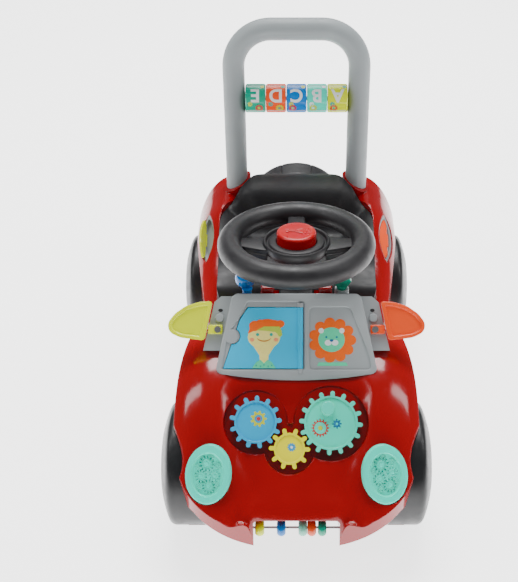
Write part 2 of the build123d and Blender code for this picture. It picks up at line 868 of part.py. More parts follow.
with BuildPart() as dash_bracket:
    with BuildSketch(Plane.XY.offset(cowl_z + 1)):
        with Locations((0, (bracket_front_y + panel_back_y - 1) / 2)):
            Rectangle(2 * bracket_half, panel_back_y - 1 - bracket_front_y)
    extrude(amount=bracket_top_z - cowl_z - 1)
    with BuildSketch(Plane.XY.offset(bracket_top_z)):
        with Locations((-ear_at, bracket_front_y + 5), (ear_at, bracket_front_y + 5)):
            RectangleRounded(2 * ear_half, 10, 3)
    extrude(amount=22)
    fillet(dash_bracket.faces().group_by(Axis.Z)[-1].edges(), 2)
    with BuildSketch(Plane.XY.offset(panel_floor_z)):
        with Locations((0, bracket_front_y + 20)):
            Rectangle(2 * slot_half, 60)
    extrude(amount=100, mode=Mode.SUBTRACT)
    with BuildSketch(Plane.XY.offset(cowl_z + 1)):
        with Locations((0, bracket_front_y + 9)):
            Rectangle(2 * bracket_half, 10)
    extrude(amount=9)
save(dash_bracket, "dash_bracket")

with BuildPart() as column_shroud:
    with BuildSketch(wheel_plane.offset(shaft_low)):
        Circle(22)
    extrude(amount=hub_low - gap - shaft_low, taper=4)
    with BuildSketch(Plane.YZ) as nose:
        with BuildLine():
            Polyline((-47, 196), (-47, 242), (-40, 247), (8, 252), (0, 196), close=True)
        make_face()
    extrude(amount=slot_half - 2, both=True)
    with BuildSketch(wheel_plane.offset(shaft_low)):
        Circle(shaft_radius + axle_running)
    extrude(amount=120, mode=Mode.SUBTRACT)
    with BuildSketch(Plane.XY):
        Rectangle(200, 300)
    extrude(amount=deck_z + 6, mode=Mode.SUBTRACT)
save(column_shroud, "column_shroud")

with BuildPart() as steering_shaft:
    with BuildSketch(wheel_plane.offset(shaft_low + 8)):
        Circle(shaft_radius)
    extrude(amount=-8 - shaft_low - 8)
save(steering_shaft, "steering_shaft")

with BuildPart() as steering_wheel:
    with BuildSketch(Plane(origin=hub_point, x_dir=(1, 0, 0), z_dir=wheel_plane.y_dir * -1)):
        with Locations((ring_radius, 0)):
            Circle(ring_tube)
    revolve(axis=Axis(hub_point, wheel_axis))
    with BuildSketch(wheel_plane.offset(-5)):
        with Locations((0, 0)):
            Rectangle(2 * ring_radius, 2 * spoke_half)
        with Locations((0, ring_radius / 2)):
            Rectangle(2 * spoke_half, ring_radius)
    extrude(amount=7)
    with BuildSketch(wheel_plane.offset(hub_low)):
        Circle(hub_radius)
    extrude(amount=hub_high - hub_low)
    hub_top = steering_wheel.faces().filter_by(GeomType.PLANE).sort_by(Axis(hub_point, wheel_axis))[-1]
    fillet(hub_top.edges(), 3.5)
    with BuildSketch(wheel_plane.offset(hub_high)):
        Circle(horn_radius + 0.4)
    extrude(amount=-12, mode=Mode.SUBTRACT)
    with BuildSketch(wheel_plane.offset(hub_low)):
        Circle(shaft_radius)
    extrude(amount=6, mode=Mode.SUBTRACT)
save(steering_wheel, "steering_wheel")

horn_top = 17.0
with BuildPart() as horn_button:
    with BuildSketch(wheel_plane.offset(-1)):
        Circle(horn_radius)
    extrude(amount=horn_top + 1)
    fillet(horn_button.faces().sort_by(Axis(hub_point, wheel_axis))[-1].edges(), 2.5)
    with BuildSketch(wheel_plane.offset(-1)):
        Circle(horn_radius - 3)
    extrude(amount=14, mode=Mode.SUBTRACT)
save(horn_button, "horn_button")

with BuildPart() as horn_squeaker:
    with BuildSketch(wheel_plane.offset(hub_high - 12)):
        Circle(13)
    extrude(amount=14, taper=6)
save(horn_squeaker, "horn_squeaker")

# ---------------------------------------------------------------- shift lever and key
knob_at = (-60.0, -30.0, 257.0)
knob_radius = 13.5
stem_radius = 6.5

with BuildPart() as shift_lever:
    with BuildSketch(Plane.XY.offset(shifter_pivot_z - 8)):
        with Locations(shifter_at):
            Circle(stem_radius)
    extrude(amount=30)
    with Locations(knob_at):
        Sphere(knob_radius)
    with BuildSketch(side_plane(shifter_at[0] - 10)):
        with Locations((shifter_at[1], shifter_pivot_z)):
            Circle(shifter_pin_radius + axle_running)
    extrude(amount=20, mode=Mode.SUBTRACT)
save(shift_lever, "shift_lever")

with BuildPart() as ignition_key:
    with BuildSketch(Plane.XY.offset(224)):
        with Locations(key_at):
            Circle(key_radius)
    extrude(amount=31)
    with BuildSketch(cross_plane(key_at[1] + 2.5)):
        with BuildLine():
            Polyline((key_at[0] - 5, 253), (key_at[0] + 5, 253), (key_at[0] + 11, 264), (key_at[0] + 6, 270),
                     (key_at[0] - 6, 270), (key_at[0] - 11, 264), close=True)
        make_face()
    extrude(amount=5)
save(ignition_key, "ignition_key")

# ---------------------------------------------------------------- seat
seat_wall = 4.0
seat_pan_z = 189.0


def seat_height(x, y):
    side = abs(x)
    roll = 20 * max(0.0, 1 - (y - seat_front_y) / 24) ** 2
    bolster = 30 * smooth((side - 60) / 40) * smooth((y - 55) / 75)
    rest = 60 * smooth((y - 148) / 46) * (1 - 0.5 * smooth((side - 60) / 42))
    return seat_pan_z - roll + max(bolster, rest)


def seat_block(inset):
    with BuildPart() as block:
        add(height_block(seat_height, 112, seat_front_y - 8, seat_back_y + 8, 16, 100, -inset))
        with BuildSketch(Plane.XY.offset(seat_pocket_z)):
            add(seat_outline(inset))
        extrude(amount=200, mode=Mode.INTERSECT)
        add(handle_rods(socket_radius + gap + inset, -2 * socket_depth, 60), mode=Mode.SUBTRACT)
    return block.part


with BuildPart() as bucket_seat:
    add(seat_block(0))
    add(seat_block(seat_wall), mode=Mode.SUBTRACT)
save(bucket_seat, "bucket_seat")

# ---------------------------------------------------------------- flaps beside the seat
flap_half = (29.6, 10.2)
flap_clear = 1.4
flap_thick = 3.0
flap_open = 65.0
flap_edge_y = 5.0
flap_axis_y = 7.0
flap_axis_z = -1.8
flap_barrel_half = 9.0
flap_pin_radius = 0.8
flap_barrel = 1.7


def flap_solid(side):
    """The flap lying closed in its plate."""
    out = -side
    plane = plate_plane(side)
    along = Plane(origin=plane.origin, x_dir=plane.y_dir, z_dir=plane.x_dir)
    with BuildPart() as flap:
        with BuildSketch(plane.offset(-flap_thick)):
            add(oval(flap_half[0], flap_half[1], 2))
            with Locations((0, out * (flap_edge_y + 20))):
                Rectangle(100, 40, mode=Mode.SUBTRACT)
            with Locations((0, out * flap_edge_y)):
                Rectangle(2 * flap_barrel_half, 3)
        extrude(amount=flap_thick)
        with BuildSketch(along):
            with Locations((out * flap_axis_y, flap_axis_z)):
                Circle(flap_barrel)
        extrude(amount=flap_barrel_half, both=True)
        with BuildSketch(along):
            with Locations((out * flap_axis_y, flap_axis_z)):
                Circle(flap_pin_radius + axle_running)
        extrude(amount=30, both=True, mode=Mode.SUBTRACT)
    return flap.part


for word, side in wheel_sides.items():
    plane = plate_plane(side)
    pin_from = plane.from_local_coords(Vector(-20, 0, 0))
    with BuildPart() as pin:
        with BuildSketch(Plane(origin=pin_from, x_dir=plane.y_dir, z_dir=plane.x_dir)):
            with Locations((-side * flap_axis_y, flap_axis_z)):
                Circle(flap_pin_radius)
        extrude(amount=40)
    save(pin, f"flap_pin_{word}")
    with BuildPart() as plate:
        with BuildSketch(plane.offset(-plate_deep)):
            add(oval(plate_half[0] - gap, plate_half[1] - gap, 2))
        extrude(amount=plate_deep)
        with BuildSketch(plane.offset(-plate_deep + 2)):
            add(oval(flap_half[0] + flap_clear, flap_half[1] + flap_clear, 2))
        extrude(amount=plate_deep, mode=Mode.SUBTRACT)
        add(pin.part, mode=Mode.SUBTRACT)
    save(plate, f"flap_plate_{word}")
    hinge_at = plane.from_local_coords(Vector(0, -side * flap_axis_y, flap_axis_z))
    turned = flap_open if side < 0 else 0
    flap_lies = flap_solid(side).rotate(Axis(hinge_at, plane.x_dir), side * turned)
    with BuildPart() as flap:
        add(flap_lies)
    save(flap, f"side_flap_{word}")

# ---------------------------------------------------------------- push handle and letter rollers
handle_corner = 50.0
handle_wall = 2.5
rod_radius = 3.0
rod_half = 91.0
roller_along = (roller_z - handle_base[2]) / handle_lean.Z
roller_y = handle_base[1] + roller_along * handle_lean.Y

with BuildPart() as roller_rod:
    with BuildSketch(side_plane(-rod_half)):
        with Locations((roller_y, roller_z)):
            Circle(rod_radius)
    extrude(amount=2 * rod_half)
save(roller_rod, "roller_rod")

with BuildPart() as push_handle:
    with BuildLine(handle_plane) as path:
        FilletPolyline(
            (-handle_x, -socket_depth),
            (-handle_x, handle_length),
            (handle_x, handle_length),
            (handle_x, -socket_depth),
            radius=handle_corner,
        )
    with BuildSketch(Plane(origin=path.line @ 0, x_dir=(1, 0, 0), z_dir=path.line % 0)):
        Circle(handle_tube)
        Circle(handle_tube - handle_wall, mode=Mode.SUBTRACT)
    sweep()
    add(roller_rod.part, mode=Mode.SUBTRACT)
save(push_handle, "push_handle")

for place, letter in enumerate("edcba"):
    middle = (place - 2) * roller_pitch
    half = (roller_pitch - roller_gap) / 2
    with BuildPart() as roller:
        with BuildSketch(Plane(origin=(0, roller_y, roller_z), x_dir=(1, 0, 0), z_dir=(0, -1, 0))):
            with BuildLine():
                Polyline(
                    (middle - half, rod_radius + axle_running),
                    (middle + half, rod_radius + axle_running),
                    (middle + half, roller_radius - 1.2),
                    (middle + half - 1.2, roller_radius),
                    (middle - half + 1.2, roller_radius),
                    (middle - half, roller_radius - 1.2),
                    close=True,
                )
            make_face()
        revolve(axis=Axis((0, roller_y, roller_z), (1, 0, 0)))
    save(roller, f"letter_roller_{letter}")

# ---------------------------------------------------------------- spare wheel
groove_count = 10

with BuildPart() as spare_wheel:
    with BuildSketch(cross_plane(spare_recess_y)):
        with Locations((0, spare_at[2])):
            Circle(spare_radius)
    extrude(amount=-2 * spare_half)
    fillet(spare_wheel.edges(), 9)
    with BuildSketch(cross_plane(spare_recess_y)):
        with Locations((0, spare_at[2])):
            with PolarLocations(spare_radius, groove_count, start_angle=90 + 180 / groove_count):
                Rectangle(7, 3)
    extrude(amount=-2 * spare_half, mode=Mode.SUBTRACT)
    with BuildSketch(cross_plane(spare_rear_y)):
        with Locations((0, spare_at[2])):
            Circle(40)
    extrude(amount=5, mode=Mode.SUBTRACT)
    with BuildSketch(cross_plane(spare_recess_y)):
        with Locations((0, spare_at[2])):
            Circle(58)
            Circle(14, mode=Mode.SUBTRACT)
    extrude(amount=-30, mode=Mode.SUBTRACT)
    add(spare_bolt.part, mode=Mode.SUBTRACT)
save(spare_wheel, "spare_wheel")
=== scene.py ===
import json
import math

import bmesh
import bpy
from mathutils import Matrix, Vector


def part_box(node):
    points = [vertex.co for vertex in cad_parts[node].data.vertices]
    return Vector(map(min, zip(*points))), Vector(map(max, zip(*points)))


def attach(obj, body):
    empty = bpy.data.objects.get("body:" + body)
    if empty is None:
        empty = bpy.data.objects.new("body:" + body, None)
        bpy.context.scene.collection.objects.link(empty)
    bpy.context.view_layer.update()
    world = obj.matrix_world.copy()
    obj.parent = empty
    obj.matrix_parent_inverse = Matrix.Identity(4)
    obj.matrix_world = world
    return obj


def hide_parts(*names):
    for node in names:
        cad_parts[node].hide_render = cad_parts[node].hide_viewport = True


# A ride-on baby walker car, finished in moulded plastics with printed labels.
# Metres. +X is the car's left-hand side, the car faces -Y, +Z is up.

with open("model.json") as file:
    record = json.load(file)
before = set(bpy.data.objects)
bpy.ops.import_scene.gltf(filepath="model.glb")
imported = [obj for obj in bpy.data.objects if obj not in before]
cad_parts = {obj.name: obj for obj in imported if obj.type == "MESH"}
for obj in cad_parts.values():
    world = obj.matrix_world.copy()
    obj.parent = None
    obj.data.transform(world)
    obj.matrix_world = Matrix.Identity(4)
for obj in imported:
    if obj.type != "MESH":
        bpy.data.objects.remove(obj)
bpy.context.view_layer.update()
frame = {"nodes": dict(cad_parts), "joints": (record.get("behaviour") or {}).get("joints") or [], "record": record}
nodes = frame["nodes"]
joints = {joint["name"]: joint for joint in frame["joints"]}
MM = 0.001

# ---------------------------------------------------------------- camera
camera_data = bpy.data.cameras.new("studio_camera")
camera_data.lens = 59.94
camera_data.shift_x = -0.0644
camera_data.shift_y = -0.0103
camera = bpy.data.objects.new("studio_camera", camera_data)
camera.location = (0, -0.9197, 0.9969)
camera.rotation_euler = (math.radians(50), 0, 0)
bpy.context.scene.collection.objects.link(camera)
bpy.context.scene.camera = camera


# ---------------------------------------------------------------- materials
def linear(code):
    """Linear colour from an sRGB hex value."""
    channels = [int(code[i : i + 2], 16) / 255 for i in (0, 2, 4)]
    return tuple(c / 12.92 if c <= 0.04045 else ((c + 0.055) / 1.055) ** 2.4 for c in channels) + (1.0,)


def add_node(tree, kind, values=None, links=None, **settings):
    """Adds one node with its settings, its socket values and what feeds it."""
    made = tree.nodes.new(kind)
    for key, value in settings.items():
        setattr(made, key, value)
    for key, value in (values or {}).items():
        made.inputs[key].default_value = value
    for key, source in (links or {}).items():
        tree.links.new(source, made.inputs[key])
    return made


def moulded(name, code, roughness, grain_mm, grain_depth_mm, highlight_tone, edge_mm=0.5, coat=0.0, ior=1.5):
    """A moulded plastic. The grain is the mould's texture, and a paler tone is painted along the rounded edges as
    a highlight.
    """
    material = bpy.data.materials.new(name)
    material.use_nodes = True
    tree = material.node_tree
    tree.nodes.clear()
    place = add_node(tree, "ShaderNodeTexCoord").outputs["Object"]
    grain = add_node(
        tree,
        "ShaderNodeTexNoise",
        {"Scale": 1 / (grain_mm * MM), "Detail": 3.0, "Roughness": 0.55},
        {"Vector": place},
    )
    # Slow change of tone where the melt cooled unevenly, about 60 mm across.
    flow = add_node(tree, "ShaderNodeTexNoise", {"Scale": 1 / (60 * MM), "Detail": 2.0}, {"Vector": place})
    # Smears from hands, about 18 mm across.
    smear = add_node(
        tree,
        "ShaderNodeTexNoise",
        {"Scale": 1 / (18 * MM), "Detail": 4.0, "Distortion": 0.6},
        {"Vector": place},
    )
    rough = add_node(
        tree,
        "ShaderNodeMapRange",
        {"From Min": 0.35, "From Max": 0.7, "To Min": roughness * 0.85, "To Max": roughness * 1.25},
        {"Value": smear.outputs["Fac"]},
    )
    tone = add_node(
        tree,
        "ShaderNodeMapRange",
        {"From Min": 0.3, "From Max": 0.7, "To Min": 0.94, "To Max": 1.05},
        {"Value": flow.outputs["Fac"]},
    )
    shade = add_node(
        tree, "ShaderNodeHueSaturation", {"Color": linear(code)}, {"Value": tone.outputs["Result"]}
    )
    rounded = add_node(tree, "ShaderNodeBevel", {"Radius": edge_mm * MM}, samples=4)
    flat = add_node(tree, "ShaderNodeNewGeometry")
    meeting = add_node(
        tree,
        "ShaderNodeVectorMath",
        links={0: rounded.outputs["Normal"], 1: flat.outputs["Normal"]},
        operation="DOT_PRODUCT",
    )
    # Painted highlight: where the rounded normal turns away from the flat one, the colour is mixed towards a paler
    # tone.
    edge = add_node(
        tree,
        "ShaderNodeMapRange",
        {"From Min": 0.985, "From Max": 0.8, "To Min": 0.0, "To Max": 0.35},
        {"Value": meeting.outputs["Value"]},
    )
    # Sockets 6 and 7 of a colour mix are its two colours: the plastic's own tone and the paler painted highlight
    # tone.
    painted_highlight = add_node(
        tree,
        "ShaderNodeMix",
        {7: linear(highlight_tone)},
        {"Factor": edge.outputs["Result"], 6: shade.outputs["Color"]},
        data_type="RGBA",
    )
    bump = add_node(
        tree,
        "ShaderNodeBump",
        {"Strength": 1.0, "Distance": grain_depth_mm * MM},
        {"Height": grain.outputs["Fac"], "Normal": rounded.outputs["Normal"]},
    )
    surface = add_node(
        tree,
        "ShaderNodeBsdfPrincipled",
        {"IOR": ior, "Coat Weight": coat, "Coat Roughness": 0.04},
        {
            "Base Color": painted_highlight.outputs[2],
            "Roughness": rough.outputs["Result"],
            "Normal": bump.outputs["Normal"],
        },
    )
    add_node(tree, "ShaderNodeOutputMaterial", links={"Surface": surface.outputs["BSDF"]})
    return material


def printed(name, code, roughness=0.3):
    """Ink on a vinyl label: a thin even film with a faint dot screen, 0.7 mm apart."""
    material = bpy.data.materials.new(name)
    material.use_nodes = True
    tree = material.node_tree
    tree.nodes.clear()
    place = add_node(tree, "ShaderNodeTexCoord").outputs["Object"]
    screen = add_node(tree, "ShaderNodeTexVoronoi", {"Scale": 1 / (0.7 * MM)}, {"Vector": place})
    cloud = add_node(tree, "ShaderNodeTexNoise", {"Scale": 1 / (6 * MM), "Detail": 3.0}, {"Vector": place})
    both = add_node(
        tree,
        "ShaderNodeMath",
        links={0: screen.outputs["Distance"], 1: cloud.outputs["Fac"]},
        operation="MULTIPLY",
    )
    tone = add_node(
        tree,
        "ShaderNodeMapRange",
        {"From Min": 0.0, "From Max": 0.45, "To Min": 1.04, "To Max": 0.9},
        {"Value": both.outputs["Value"]},
    )
    ink = add_node(
        tree, "ShaderNodeHueSaturation", {"Color": linear(code)}, {"Value": tone.outputs["Result"]}
    )
    bump = add_node(
        tree, "ShaderNodeBump", {"Strength": 0.3, "Distance": 0.02 * MM}, {"Height": cloud.outputs["Fac"]}
    )
    surface = add_node(
        tree,
        "ShaderNodeBsdfPrincipled",
        {"Roughness": roughness, "IOR": 1.5},
        {"Base Color": ink.outputs["Color"], "Normal": bump.outputs["Normal"]},
    )
    add_node(tree, "ShaderNodeOutputMaterial", links={"Surface": surface.outputs["BSDF"]})
    return material


def plated_steel(name):
    """Zinc plated steel rod: bright, with fine drawing lines along it and a little frost."""
    material = bpy.data.materials.new(name)
    material.use_nodes = True
    tree = material.node_tree
    tree.nodes.clear()
    place = add_node(tree, "ShaderNodeTexCoord").outputs["Object"]
    along = add_node(tree, "ShaderNodeMapping", {"Scale": (0.03, 1.0, 1.0)}, {"Vector": place})
    lines = add_node(
        tree,
        "ShaderNodeTexNoise",
        {"Scale": 1 / (0.4 * MM), "Detail": 2.0},
        {"Vector": along.outputs["Vector"]},
    )
    rough = add_node(
        tree,
        "ShaderNodeMapRange",
        {"From Min": 0.3, "From Max": 0.7, "To Min": 0.22, "To Max": 0.38},
        {"Value": lines.outputs["Fac"]},
    )
    bump = add_node(
        tree, "ShaderNodeBump", {"Strength": 0.4, "Distance": 0.01 * MM}, {"Height": lines.outputs["Fac"]}
    )
    surface = add_node(
        tree,
        "ShaderNodeBsdfPrincipled",
        {"Base Color": linear("C4C6C8"), "Metallic": 1.0},
        {"Roughness": rough.outputs["Result"], "Normal": bump.outputs["Normal"]},
    )
    add_node(tree, "ShaderNodeOutputMaterial", links={"Surface": surface.outputs["BSDF"]})
    return material


# Polished ABS: the tool is mirror finished, so the light boxes show as crisp streaks.
gloss = {"roughness": 0.13, "grain_mm": 5.0, "grain_depth_mm": 0.02, "edge_mm": 0.8, "coat": 0.15}
# Satin polypropylene with a spark eroded texture, drawn at 1.0 mm so that it shows.
satin = {"roughness": 0.42, "grain_mm": 1.0, "grain_depth_mm": 0.03, "edge_mm": 0.8}
# Blow moulded polyethylene: waxy and dull, with a leathery tool texture.
waxy = {"roughness": 0.46, "grain_mm": 1.4, "grain_depth_mm": 0.06, "edge_mm": 1.0}

# The second colour of each finish is the paler tone painted on its edges as a highlight.
finishes = {
    "polished_abs_red": moulded("polished_abs_red", "A00008", highlight_tone="D0202A", **(gloss | {"edge_mm": 1.5})),
    "horn_abs_red": moulded("horn_abs_red", "C8000C", highlight_tone="EC4A4E", **(gloss | {"roughness": 0.3})),
    "satin_pp_grey": moulded("satin_pp_grey", "A2A8AA", highlight_tone="C9CDCE", **satin),
    "handle_hdpe_grey": moulded("handle_hdpe_grey", "939A9C", highlight_tone="B9BDBE", **(waxy | {"roughness": 0.5})),
    "textured_pp_black": moulded("textured_pp_black", "1E1D20", highlight_tone="48474A", **waxy),
    "wheel_hdpe_black": moulded("wheel_hdpe_black", "1C1D1F", highlight_tone="3A3B3D", **(waxy | {"roughness": 0.36})),
    "abs_lime": moulded("abs_lime", "E8F400", highlight_tone="EEF46A", **gloss),
    "abs_coral": moulded("abs_coral", "FF5620", highlight_tone="FF9170", **gloss),
    "abs_sky_blue": moulded("abs_sky_blue", "00C4F4", highlight_tone="5ADCF4", **gloss),
    "abs_gear_blue": moulded("abs_gear_blue", "10B8EC", highlight_tone="7FCDF2", **gloss),
    "abs_gear_yellow": moulded("abs_gear_yellow", "FAF200", highlight_tone="F8F48C", **gloss),
    "abs_mint": moulded("abs_mint", "30F0D0", highlight_tone="9DF0DC", **gloss),
    "abs_headlight": moulded("abs_headlight", "00FFE0", highlight_tone="A6F6E8", **gloss),
    "abs_bead_mint": moulded("abs_bead_mint", "8CE2C6", highlight_tone="C8F4E6", **gloss),
    "abs_bead_blue": moulded("abs_bead_blue", "007FD6", highlight_tone="6CC0EE", **gloss),
    "abs_teal": moulded("abs_teal", "00B08C", highlight_tone="6CD8C4", **gloss),
    "rubber_black": moulded("rubber_black", "2A2A2A", highlight_tone="404040", **(waxy | {"roughness": 0.7})),
    "plated_steel": plated_steel("plated_steel"),
}

finish_of_slot = {
    "red_body": "polished_abs_red",
    "black_matte": "textured_pp_black",
    "black_wheel": "wheel_hdpe_black",
    "grey_panel": "satin_pp_grey",
    "lime": "abs_lime",
    "coral": "abs_coral",
    "door_blue": "abs_sky_blue",
    "gear_blue": "abs_gear_blue",
    "gear_yellow": "abs_gear_yellow",
    "mint": "abs_mint",
    "bead_blue": "abs_bead_blue",
    "bead_mint": "abs_bead_mint",
    "teal": "abs_teal",
    "horn_red": "horn_abs_red",
    "shifter_blue": "abs_bead_blue",
    "steel": "plated_steel",
    "rubber": "rubber_black",
}
slot_of_node = {part["node"]: part["material_slot"] for part in frame["record"]["subparts"]}
for name, shown in nodes.items():
    finish = finishes[finish_of_slot[slot_of_node[name]]]
    if name == "push_handle":
        finish = finishes["handle_hdpe_grey"]
    for place in shown.material_slots:
        place.material = finish

inks = {
    name: printed(name, code)
    for name, code in {
        "ink_cream": "FFF28C",
        "ink_orange": "FF6A14",
        "ink_green": "BFD94A",
        "ink_mint": "4CE4AE",
        "ink_white": "F4F8F8",
        "ink_teal": "1FB39C",
        "ink_blue": "3AA0D8",
        "ink_red": "D8423C",
        "ink_lime": "D2DC3A",
        "ink_brown": "C8741E",
        "ink_peach": "FFA070",
        "ink_navy": "2A6FA0",
    }.items()
}

# ---------------------------------------------------------------- places


def placed(origin, normal, right=(1, 0, 0)):
    """The frame whose z is normal and whose x is right, made square to it."""
    z = Vector(normal).normalized()
    x = Vector(right)
    x = (x - z * x.dot(z)).normalized()
    axes = Matrix((x, z.cross(x), z)).transposed()
    return Matrix.Translation(origin) @ axes.to_4x4()


def shift(x, y, z=0.0):
    """A move given in millimetres."""
    return Matrix.Translation(Vector((x, y, z)) * MM)


fold = joints["mirror_left_fold"]
panel = placed(fold["pos_m"], fold["axis"]) @ shift(-92.5, -60, 6)
hub = placed(joints["steering_turn"]["pos_m"], joints["steering_turn"]["axis"])
gear_frames = {
    name: placed(joints[f"gear_{name}_spin"]["pos_m"], joints[f"gear_{name}_spin"]["axis"])
    for name in ("blue", "yellow", "teal")
}


def make_piece(name, bm, place, material, body, replaces=(), smooth=35.0):
    """Turns a bmesh in millimetres into a finished piece with its place in its mesh."""
    bmesh.ops.transform(bm, matrix=place @ Matrix.Scale(MM, 4), verts=bm.verts)
    mesh = bpy.data.meshes.new(name)
    bm.to_mesh(mesh)
    bm.free()
    made = bpy.data.objects.new(name, mesh)
    bpy.context.scene.collection.objects.link(made)
    mesh.materials.append(material)
    mesh.shade_smooth()
    mesh.set_sharp_from_angle(angle=math.radians(smooth))
    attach(made, body)
    if replaces:
        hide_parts(*replaces)
    return made


def spin_round(bm, steps):
    """Spins a closed outline once round the z axis and closes the seam."""
    bmesh.ops.spin(
        bm,
        geom=bm.verts[:] + bm.edges[:],
        cent=(0, 0, 0),
        axis=(0, 0, 1),
        angle=2 * math.pi,
        steps=steps,
        use_merge=True,
    )
    bmesh.ops.remove_doubles(bm, verts=bm.verts, dist=0.001)
    bmesh.ops.recalc_face_normals(bm, faces=bm.faces)


def lathe(profile, steps=64):
    """A closed profile of (radius, height) spun once round the z axis."""
    bm = bmesh.new()
    ring = [bm.verts.new((radius, 0, height)) for radius, height in profile]
    for start, end in zip(ring, ring[1:] + ring[:1]):
        bm.edges.new((start, end))
    spin_round(bm, steps)
    return bm


def raise_face(bm, face, height):
    """Gives a flat face a thickness, with its top in the face's own direction."""
    grown = bmesh.ops.extrude_face_region(bm, geom=[face])
    verts = [item for item in grown["geom"] if isinstance(item, bmesh.types.BMVert)]
    bmesh.ops.translate(bm, verts=verts, vec=(0, 0, height))


def add_disc(bm, x, y, across, along, height=0.12, low=0.0, turn=0.0, steps=28):
    """A thin oval patch of a print."""
    made = bmesh.ops.create_circle(bm, cap_ends=True, radius=1.0, segments=steps)
    verts = made["verts"]
    bmesh.ops.transform(
        bm,
        matrix=Matrix.Translation((x, y, low)) @ Matrix.Rotation(math.radians(turn), 4, "Z")
        @ Matrix.Diagonal((across, along, 1, 1)),
        verts=verts,
    )
    raise_face(bm, verts[0].link_faces[0], height)


def add_patch(bm, corners, height=0.12, low=0.0):
    """A thin patch of a print from the corners of its outline, counterclockwise."""
    face = bm.faces.new([bm.verts.new((x, y, low)) for x, y in corners])
    raise_face(bm, face, height)


def add_cog(bm, x, y, radius, teeth, height, low=0.0, depth=0.22, hole=0.0, turn=0.0):
    """A small flat gear, with a hole if hole is over 0."""
    corners = []
    for tooth in range(teeth):
        for share, reach in ((-0.30, 1 - depth), (-0.17, 1.0), (0.17, 1.0), (0.30, 1 - depth)):
            angle = 2 * math.pi * (tooth + share) / teeth + math.radians(turn)
            corners.append((x + radius * reach * math.cos(angle), y + radius * reach * math.sin(angle)))
    face = bm.faces.new([bm.verts.new((a, b, low)) for a, b in corners])
    face.normal_update()
    if hole:
        inner = bmesh.ops.inset_individual(bm, faces=[face], thickness=radius * (1 - depth - hole))
        bmesh.ops.delete(bm, geom=[face], context="FACES_ONLY")
        grown = bmesh.ops.extrude_face_region(bm, geom=inner["faces"])
        verts = [item for item in grown["geom"] if isinstance(item, bmesh.types.BMVert)]
        bmesh.ops.translate(bm, verts=verts, vec=(0, 0, height))
    else:
        raise_face(bm, face, height)


def print_piece(name, ink, place, body, shapes):
    """One ink of a print, from a list of (function, arguments)."""
    bm = bmesh.new()
    for step, (make, values, options) in enumerate(shapes):
        before = set(bm.verts)
        make(bm, *values, **options)
        # Each shape lies a hair above the last, so that no two faces share a plane.
        added = [vert for vert in bm.verts if vert not in before]
        bmesh.ops.translate(bm, verts=added, vec=(0, 0, 0.012 * step))
    bmesh.ops.recalc_face_normals(bm, faces=bm.faces)
    return make_piece(name, bm, place, inks[ink], body)


# ---------------------------------------------------------------- picture on the peek door
def spot(*values, **options):
    """A disc for print_piece."""
    return add_disc, values, options


def patch(corners, **options):
    """An outlined patch for print_piece."""
    return add_patch, (corners,), options


def cog(*values, **options):
    """A flat gear for print_piece."""
    return add_cog, values, options


door_top = panel @ shift(0, 0, 0.3)
face_x, face_y = -38.0, 50.0
print_piece(
    "print_child_skin",
    "ink_cream",
    door_top,
    "door",
    [
        spot(face_x, face_y + 1, 19, 14),
        patch([(-52, 43), (-43.5, 30), (-42.5, 20), (-33.5, 20), (-32.5, 30), (-24, 43)]),
    ],
)
hair_line = [(-57, 55), (-53, 66), (-44, 71.5), (-25, 71), (-17, 69), (-15, 65), (-19, 61), (-30, 63)]
hair_line += [(-46, 60)]
print_piece(
    "print_child_hair",
    "ink_orange",
    door_top @ shift(0, 0, 0.12),
    "door",
    [
        patch(hair_line),
        spot(-19, 66.5, 5, 4.2),
        spot(-49, 64, 6.5, 6),
        spot(-34, 68.5, 9, 3.6),
    ],
)
print_piece(
    "print_child_fringe",
    "ink_green",
    door_top @ shift(0, 0, 0.26),
    "door",
    [
        patch([(-47, 59), (-38, 63.5), (-20, 63.5), (-17, 58), (-19, 52), (-25, 57), (-38, 58.5)]),
        spot(-19.5, 55, 2.6, 3.6, turn=20),
    ],
)
print_piece(
    "print_child_shirt",
    "ink_mint",
    door_top @ shift(0, 0, 0.12),
    "door",
    [patch([(-52, 14.8), (-24, 14.8), (-29, 22), (-34, 24.5), (-38, 20.5), (-42, 24.5), (-47, 22)])],
)
print_piece(
    "print_child_eyes",
    "ink_teal",
    door_top @ shift(0, 0, 0.14),
    "door",
    [spot(face_x - 7.5, 54, 1.9, 1.9), spot(face_x + 8.5, 54, 1.9, 1.9)]
    + [spot(x, y, 0.9, 0.9, low=0.12) for x, y in ((-47, 18), (-42, 17), (-38, 18.6), (-33, 17), (-29, 18))],
)
print_piece(
    "print_child_cheeks",
    "ink_peach",
    door_top @ shift(0, 0, 0.14),
    "door",
    [spot(face_x - 14, 48, 2.6, 2.2), spot(face_x + 14, 48, 2.6, 2.2)],
)


def arc(x, y, across, along, degrees):
    """Points on part of an oval, one at each of the angles."""
    turns = [math.radians(degree) for degree in degrees]
    return [(x + across * math.cos(turn), y + along * math.sin(turn)) for turn in turns]


smile = arc(face_x, 52, 9, 6.4, range(205, 336, 13)) + arc(face_x, 52.2, 9, 5.2, range(335, 204, -13))
print_piece("print_child_smile", "ink_brown", door_top @ shift(0, 0, 0.14), "door", [patch(smile)])

